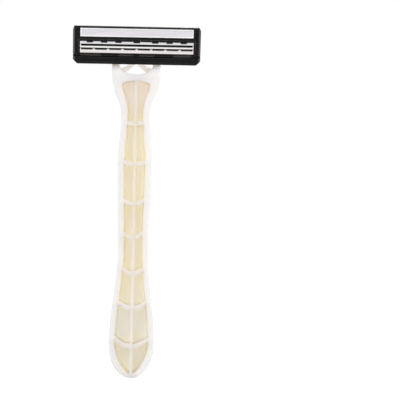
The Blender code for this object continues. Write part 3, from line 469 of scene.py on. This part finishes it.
steelLook = {
    # painted highlight along the blades' edges
    "edge": (0.900, 0.885, 0.880, 1),
    "edgeRadius": 0.05 * mm,
    "edgeGain": 3.0,
    "lineScale": 9000.0,
    "lineStretch": 0.006,
    "lineSpan": (0.35, 0.65),
    "roughness": 0.24,
    "roughSpread": (-0.08, 0.08),
    "bumpDepth": 0.002 * mm,
}
bladeTints = {    # face and drawn lines; painted reflection: the same steel is tinted per blade by the light it reflects
    "blade_upper": ((0.660, 0.665, 0.700, 1), (0.800, 0.785, 0.780, 1)),
    "blade_middle": ((0.790, 0.770, 0.765, 1), (0.930, 0.905, 0.895, 1)),
    "blade_lower": ((0.700, 0.665, 0.655, 1), (0.860, 0.815, 0.800, 1)),
}


def steelFinish(name):
    look = steelLook
    face, line = bladeTints[name]
    made, tree, shader = newFinish(f"{name}_steel", Metallic=1.0)
    edges = useGroup(tree, edgeGroup, Radius=look["edgeRadius"], Gain=look["edgeGain"])
    drawn = useGroup(tree, drawnGroup, Scale=look["lineScale"], Stretch=look["lineStretch"])
    lines = ramp(tree, drawn.outputs["Lines"], *look["lineSpan"])
    # each blade's painted reflection tint, with its drawn lines
    colour = mixColour(tree, lines, face, line)
    # painted highlight along the edges
    feed(tree, shader.inputs["Base Color"], mixColour(tree, edges.outputs["Mask"], colour, look["edge"]))
    addRoughness(tree, shader, drawn.outputs["Lines"], look["roughness"], look["roughSpread"])
    addBump(tree, shader, drawn.outputs["Lines"], look["bumpDepth"])
    return made


stripLook = {
    "face": (0.700, 0.672, 0.715, 1),
    "worn": (0.760, 0.738, 0.765, 1),
    "rim": (0.960, 0.960, 0.965, 1),
    "rimWidth": 0.34 * mm,
    "fade": 0.10 * mm,
    "halfHeight": 1.40 * mm,
    "edgeRadius": 0.22 * mm,
    "edgeGain": 5.0,
    "lineScale": 2600.0,
    "lineStretch": 0.05,
    "lineSpan": (0.35, 0.65),
    "roughness": 0.48,
    "roughSpread": (-0.08, 0.0),
    "specular": 0.35,
    "bumpDepth": 0.008 * mm,
}


def stripFinish():
    look = stripLook
    made, tree, shader = newFinish("strip_polymer", Specular_IOR_Level=look["specular"])
    edges = useGroup(tree, edgeGroup, Radius=look["edgeRadius"], Gain=look["edgeGain"])
    drawn = useGroup(tree, drawnGroup, Scale=look["lineScale"], Stretch=look["lineStretch"])
    lines = ramp(tree, drawn.outputs["Lines"], *look["lineSpan"])
    colour = mixColour(tree, lines, look["face"], look["worn"])
    low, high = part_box("lubricating_strip")
    masks = []
    for direction, half in ((headOut, (high.x - low.x) / 2), (headUp, look["halfHeight"])):
        away = mathNode(tree, "ABSOLUTE", along(tree, (low + high) / 2, direction))
        start = half - look["rimWidth"] - look["fade"]
        masks.append(ramp(tree, away, start, start + look["fade"]))
    rim = mathNode(tree, "MAXIMUM", *masks)
    feed(tree, shader.inputs["Base Color"], mixColour(tree, rim, colour, look["rim"]))
    addRoughness(tree, shader, lines, look["roughness"], look["roughSpread"], (0.0, 1.0))
    addBump(tree, shader, drawn.outputs["Lines"], look["bumpDepth"], edges.outputs["Normal"])
    return made


milk = milkFinish("milky_moulding", milkLook["armGlow"])
tongueMilk = milkFinish("milky_tongue", milkLook["tongueGlow"])
coverBlack = blackFinish("black_moulding", blackLook["roughness"], blackLook["specular"])
baseBlack = blackFinish("black_moulding_base", blackLook["roughness"], blackLook["specular"], windows=True)
spacerBlack = blackFinish("spacer_plastic", blackLook["spacerRoughness"], blackLook["spacerSpecular"])
stripPolymer = stripFinish()
print("finishes made")


smoothLook = {
    "weldDistance": 0.0001 * mm,
    "sharpAngle": 30,             # degrees from which an edge stays sharp
}


# curved faces of the CAD nodes are shaded smooth by a modifier; their meshes stay as they are
def smoothModifierTree():
    look = smoothLook
    tree = bpy.data.node_groups.new("smooth_curves", "GeometryNodeTree")
    tree.interface.new_socket("Geometry", in_out="INPUT", socket_type="NodeSocketGeometry")
    tree.interface.new_socket("Geometry", in_out="OUTPUT", socket_type="NodeSocketGeometry")
    source = tree.nodes.new("NodeGroupInput")
    target = tree.nodes.new("NodeGroupOutput")
    weld = tree.nodes.new("GeometryNodeMergeByDistance")
    weld.inputs["Distance"].default_value = look["weldDistance"]
    angle = tree.nodes.new("GeometryNodeInputMeshEdgeAngle")
    sharp = addNode(tree, "FunctionNodeCompare", data_type="FLOAT", operation="GREATER_THAN")
    sharp.inputs[1].default_value = math.radians(look["sharpAngle"])
    normals = addNode(tree, "GeometryNodeSetMeshNormal", mode="SHARPNESS")
    normals.inputs["Remove Custom"].default_value = True
    normals.inputs["Face Sharpness"].default_value = False
    tree.links.new(source.outputs[0], weld.inputs["Geometry"])
    tree.links.new(weld.outputs["Geometry"], normals.inputs["Mesh"])
    tree.links.new(angle.outputs["Unsigned Angle"], sharp.inputs[0])
    tree.links.new(sharp.outputs[0], normals.inputs["Edge Sharpness"])
    tree.links.new(normals.outputs["Mesh"], target.inputs[0])
    return tree


smoothTree = smoothModifierTree()
finishOf = {
    "handle": milk,
    "wishbone_spring": milk,
    "plunger_tip": milk,
    "cartridge_base": baseBlack,
    "cover_frame": coverBlack,
    "lubricating_strip": stripPolymer,
    "spacer_upper": spacerBlack,
    "spacer_lower": spacerBlack,
}
for bladeName in bladeTints:
    finishOf[bladeName] = steelFinish(bladeName)
for nodeName, finish in finishOf.items():
    node = nodes[nodeName]
    for slot in node.material_slots:
        slot.link = "OBJECT"
        slot.material = finish
    smoothing = node.modifiers.new("smooth_curves", "NODES")
    smoothing.node_group = smoothTree
print("nodes finished")


# the sprung tongue between the arms: legs, stem and cross bar in one moulding, as on the real razor
tongue = {
    "yoke": 87.6 * mm,            # height of the window's lower edge
    "front": -4.70 * mm,
    "back": -3.00 * mm,
    "edgeRound": 0.18 * mm,
    "barTop": 9.05,               # from here on in mm above the yoke, and mm from the middle
    "barUnder": 7.15,
    "barHalf": 2.38,
    "neck": [(1.55, 0.0), (1.22, -0.15), (1.10, -0.45)],    # heights from barUnder
    "legOuter": [
        (1.10, 6.3), (1.14, 5.7), (1.35, 5.0), (1.85, 4.25),
        (2.65, 3.50), (3.70, 2.85), (4.90, 2.45), (5.70, 2.20),
    ],
    "legInner": [
        (5.60, 1.20), (4.30, 0.62), (3.62, 0.74), (3.30, 0.98),
        (2.80, 1.42), (1.85, 2.15), (0.95, 2.95), (0.35, 3.60),
    ],
    "apex": 3.78,
    "bendStart": 0.8,
    "bendEnd": 5.4,
    "bevelSteps": 2,
    "weldDistance": 0.001 * mm,
    "sharpAngle": 35,
}


def tongueOutline():
    look = tongue
    bar = [(look["barHalf"], look["barTop"]), (look["barHalf"], look["barUnder"])]
    neck = [(across, look["barUnder"] + up) for across, up in look["neck"]]
    half = bar + neck + look["legOuter"] + look["legInner"]
    left = [(-across, up) for across, up in reversed(half)]
    return half + [(0.0, look["apex"])] + left


def outlineCurve(name, outline, depth, edgeRound, bevelSteps):
    curve = bpy.data.curves.new(name, "CURVE")
    curve.dimensions = "2D"
    curve.fill_mode = "BOTH"
    curve.extrude = depth / 2 - edgeRound
    curve.bevel_depth = edgeRound
    curve.bevel_resolution = bevelSteps
    curve.offset = -edgeRound
    spline = curve.splines.new("POLY")
    spline.points.add(len(outline) - 1)
    for point, (across, up) in zip(spline.points, outline):
        point.co = (across * mm, up * mm, 0, 1)
    spline.use_cyclic_u = True
    return curve


def meshFromCurve(name, curve):
    drawn = bpy.data.objects.new(name, curve)
    bpy.context.scene.collection.objects.link(drawn)
    bpy.context.view_layer.update()
    evaluated = drawn.evaluated_get(bpy.context.evaluated_depsgraph_get())
    mesh = bpy.data.meshes.new_from_object(evaluated)
    bpy.data.objects.remove(drawn)
    bpy.data.curves.remove(curve)
    mesh.name = name
    return mesh


def makeTongue():
    look = tongue
    depth = look["back"] - look["front"]
    curve = outlineCurve("sprung_tongue", tongueOutline(), depth, look["edgeRound"], look["bevelSteps"])
    mesh = meshFromCurve("sprung_tongue", curve)
    middle = (look["front"] + look["back"]) / 2
    mesh.transform(Matrix.Translation((0, middle, look["yoke"])) @ Matrix.Rotation(math.pi / 2, 4, "X"))
    build = bmesh.new()
    build.from_mesh(mesh)
    bmesh.ops.remove_doubles(build, verts=build.verts, dist=look["weldDistance"])
    bmesh.ops.recalc_face_normals(build, faces=build.faces)
    build.to_mesh(mesh)
    build.free()
    piece = bpy.data.objects.new("sprung_tongue", mesh)
    bpy.context.scene.collection.objects.link(piece)
    mesh.materials.clear()
    mesh.materials.append(tongueMilk)
    mesh.shade_smooth()
    mesh.set_sharp_from_angle(angle=math.radians(look["sharpAngle"]))
    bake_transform(piece)
    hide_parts("wishbone_spring", "plunger_tip")


makeTongue()
print("tongue made")


stageLook = {
    "floorHeight": -15.0 * mm,
    "floorHalf": 3.0,
    "floorColour": (0.80, 0.80, 0.80, 1),
    "floorLift": 0.60,
    "worldLight": 0.62,
}


def makeStage():
    look = stageLook
    half = look["floorHalf"]
    mesh = bpy.data.meshes.new("floor")
    corners = [(-half, -half, 0), (half, -half, 0), (half, half, 0), (-half, half, 0)]
    mesh.from_pydata(corners, [], [(0, 1, 2, 3)])
    floor = bpy.data.objects.new("floor", mesh)
    floor.location.z = look["floorHeight"]
    bpy.context.scene.collection.objects.link(floor)
    made = bpy.data.materials.new("floor_paper")
    made.use_nodes = True
    tree = made.node_tree
    tree.nodes.clear()
    out = addNode(tree, "ShaderNodeOutputMaterial")
    paper = addNode(tree, "ShaderNodeBsdfDiffuse")
    paper.inputs["Color"].default_value = look["floorColour"]
    lift = addNode(tree, "ShaderNodeEmission")
    total = addNode(tree, "ShaderNodeAddShader")
    feed(tree, lift.inputs["Strength"], mathNode(tree, "MULTIPLY", seenRay(tree), look["floorLift"]))
    tree.links.new(paper.outputs[0], total.inputs[0])
    tree.links.new(lift.outputs[0], total.inputs[1])
    tree.links.new(total.outputs[0], out.inputs["Surface"])
    mesh.materials.append(made)


# one for rays that show the background, itself, in a gloss or through something clear
def seenRay(tree):
    path = addNode(tree, "ShaderNodeLightPath")
    either = mathNode(tree, "MAXIMUM", path.outputs["Is Camera Ray"], path.outputs["Is Glossy Ray"])
    return mathNode(tree, "MAXIMUM", either, path.outputs["Is Transmission Ray"])


def makeWorld():
    world = bpy.data.worlds.new("plain_studio")
    bpy.context.scene.world = world
    world.use_nodes = True
    tree = world.node_tree
    background = tree.nodes["Background"]
    background.inputs["Color"].default_value = (1, 1, 1, 1)
    level = stageLook["worldLight"]
    feed(tree, background.inputs["Strength"],
         mathNode(tree, "ADD", mathNode(tree, "MULTIPLY", seenRay(tree), 1.0 - level), level))


lamps = {
    "key": {"place": (-0.45, -0.75, 0.62), "size": 0.50, "power": 3.4},
    "fill": {"place": (0.70, -0.60, 0.25), "size": 0.60, "power": 1.9},
    "behind": {"place": (0.30, 0.80, 0.45), "size": 0.60, "power": 2.6},
}
lampAim = (0, 0, 45 * mm)


def makeLamps():
    for name, look in lamps.items():
        light = bpy.data.lights.new(name, "AREA")
        light.shape = "DISK"
        light.size = look["size"]
        light.energy = look["power"]
        lamp = bpy.data.objects.new(name, light)
        bpy.context.scene.collection.objects.link(lamp)
        lamp.location = look["place"]
        towards = [a - b for a, b in zip(lampAim, look["place"])]
        lamp.rotation_mode = "QUATERNION"
        lamp.rotation_quaternion = Vector(towards).to_track_quat("-Z", "Y")


photoView = {
    "distance": 0.500,
    "frameWidth": 136.0 * mm,     # what the frame spans at the handle
    "aside": 22.5 * mm,           # how far the razor stands to the left of the frame's middle
    "height": 45.2 * mm,
    "depth": -4.0 * mm,
    "roll": 1.1,                  # degrees
    "sensorWidth": 36.0,
    "clip": (0.01, 20.0),
}


def makeCamera():
    look = photoView
    camera = bpy.data.cameras.new("photo_camera")
    camera.sensor_width = look["sensorWidth"]
    camera.lens = look["sensorWidth"] * look["distance"] / look["frameWidth"]
    camera.clip_start, camera.clip_end = look["clip"]
    holder = bpy.data.objects.new("photo_camera", camera)
    bpy.context.scene.collection.objects.link(holder)
    camera.shift_x = look["aside"] / look["frameWidth"]
    holder.location = (0, look["depth"] - look["distance"], look["height"])
    turn = Matrix.Rotation(math.pi / 2, 4, "X") @ Matrix.Rotation(math.radians(look["roll"]), 4, "Z")
    holder.rotation_euler = turn.to_euler()
    bpy.context.scene.camera = holder


makeStage()
makeWorld()
makeLamps()
makeCamera()
bpy.context.scene.view_settings.view_transform = "Standard"
print("stage, lamps and camera made")
